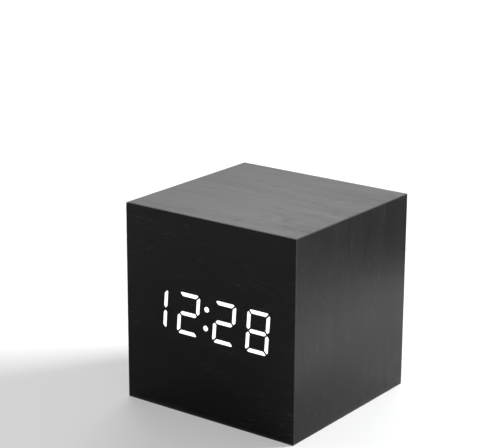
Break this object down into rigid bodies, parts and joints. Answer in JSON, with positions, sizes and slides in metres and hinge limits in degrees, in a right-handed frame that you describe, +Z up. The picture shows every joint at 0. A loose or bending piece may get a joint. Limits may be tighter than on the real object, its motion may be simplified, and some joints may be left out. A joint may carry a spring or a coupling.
{
  "type": "desk clock",
  "caption": "Cube desk clock in black wood-grain board with lit seven-segment digits behind its front veneer, a battery door and rear setting buttons.",
  "frame": {"origin": "middle of the base, on the surface that the clock stands on", "axes": "+Z up, -Y out of the display's face, +Y out of the rear cover, +X to the right as seen from the front"},
  "size_m": [0.06, 0.0576, 0.0604],
  "materials": {
    "black_veneer": "satin black film with a fine wood grain",
    "fibreboard": "raw medium-density fibreboard",
    "black_plastic": "fine spark-eroded texture",
    "button_plastic": "smooth matte",
    "lit_plastic": "frosted, lit white from behind",
    "white_plastic": "matte white moulding",
    "green_laminate": "glass laminate under solder mask",
    "led_resin": "clear yellowish resin on copper traces",
    "black_resin": "moulded epoxy",
    "nickel": "nickel-plated",
    "dark_steel": "black zinc",
    "brass": "plated",
    "cell_sleeve": "printed shrink sleeve, plain",
    "red_sheath": "wire insulation",
    "black_sheath": "wire insulation",
    "grey_sheath": "wire insulation"
  },
  "bodies": {
    "case": {"alarm_buzzer": "black_resin", "battery_cell_1": "cell_sleeve", "battery_cell_2": "cell_sleeve", "battery_cell_3": "cell_sleeve", "battery_lead_black": "black_sheath", "battery_lead_red": "red_sheath", "board_ribbon": "grey_sheath", "bottom_board": "fibreboard", "bottom_veneer": "black_veneer", "clock_chip": "black_resin", "control_board": "green_laminate", "control_screw_1": "dark_steel", "control_screw_2": "dark_steel", "display_board": "green_laminate", "display_lens": "lit_plastic", "display_reflector": "white_plastic", "display_screw_1": "dark_steel", "display_screw_2": "dark_steel", "down_push_switch": "black_resin", "front_board": "fibreboard", "front_veneer": "black_veneer", "led_array": "led_resin", "left_board": "fibreboard", "left_bridge_contact": "nickel", "left_veneer": "black_veneer", "lower_left_corner_block": "fibreboard", "lower_left_cover_screw": "dark_steel", "lower_right_corner_block": "fibreboard", "lower_right_cover_screw": "dark_steel", "microphone": "nickel", "microphone_lead": "grey_sheath", "negative_contact": "nickel", "positive_contact": "nickel", "power_jack": "black_plastic", "power_jack_pin": "brass", "power_lead": "black_sheath", "quartz_crystal": "nickel", "rear_cover": "black_plastic", "right_board": "fibreboard", "right_bridge_contact": "nickel", "right_veneer": "black_veneer", "set_push_switch": "black_resin", "sound_switch_body": "nickel", "top_board": "fibreboard", "top_veneer": "black_veneer", "up_push_switch": "black_resin", "upper_left_corner_block": "fibreboard", "upper_left_cover_screw": "dark_steel", "upper_right_corner_block": "fibreboard", "upper_right_cover_screw": "dark_steel"},
    "set_button": {"set_button": "button_plastic", "set_plunger": "white_plastic"},
    "up_button": {"up_button": "button_plastic", "up_plunger": "white_plastic"},
    "down_button": {"down_button": "button_plastic", "down_plunger": "white_plastic"},
    "sound_switch_knob": {"sound_switch_knob": "button_plastic"},
    "battery_door": {"battery_door": "black_plastic"},
    "door_latch": {"door_latch": "black_plastic"}
  },
  "joints": [
    {"name": "set_press", "type": "slide", "parent": "case", "child": "set_button", "axis": [0, -1, 0], "range_m": [0, 0.0005], "stiffness_N_per_m": 1000, "springref_m": -0.001},
    {"name": "up_press", "type": "slide", "parent": "case", "child": "up_button", "axis": [0, -1, 0], "range_m": [0, 0.0005], "stiffness_N_per_m": 1000, "springref_m": -0.001},
    {"name": "down_press", "type": "slide", "parent": "case", "child": "down_button", "axis": [0, -1, 0], "range_m": [0, 0.0005], "stiffness_N_per_m": 1000, "springref_m": -0.001},
    {"name": "sound_slide", "type": "slide", "parent": "case", "child": "sound_switch_knob", "axis": [1, 0, 0], "range_m": [0, 0.002]},
    {"name": "battery_door_hinge", "type": "hinge", "parent": "case", "child": "battery_door", "pos_m": [0, 0.0274, 0.0131], "axis": [-1, 0, 0], "range_deg": [0, 90]},
    {"name": "latch_flex", "type": "hinge", "parent": "battery_door", "child": "door_latch", "pos_m": [0, 0.0236, 0.0463], "axis": [-1, 0, 0], "range_deg": [0, 13], "stiffness_Nm_per_rad": 0.03, "springref_deg": -11.46}
  ]
}
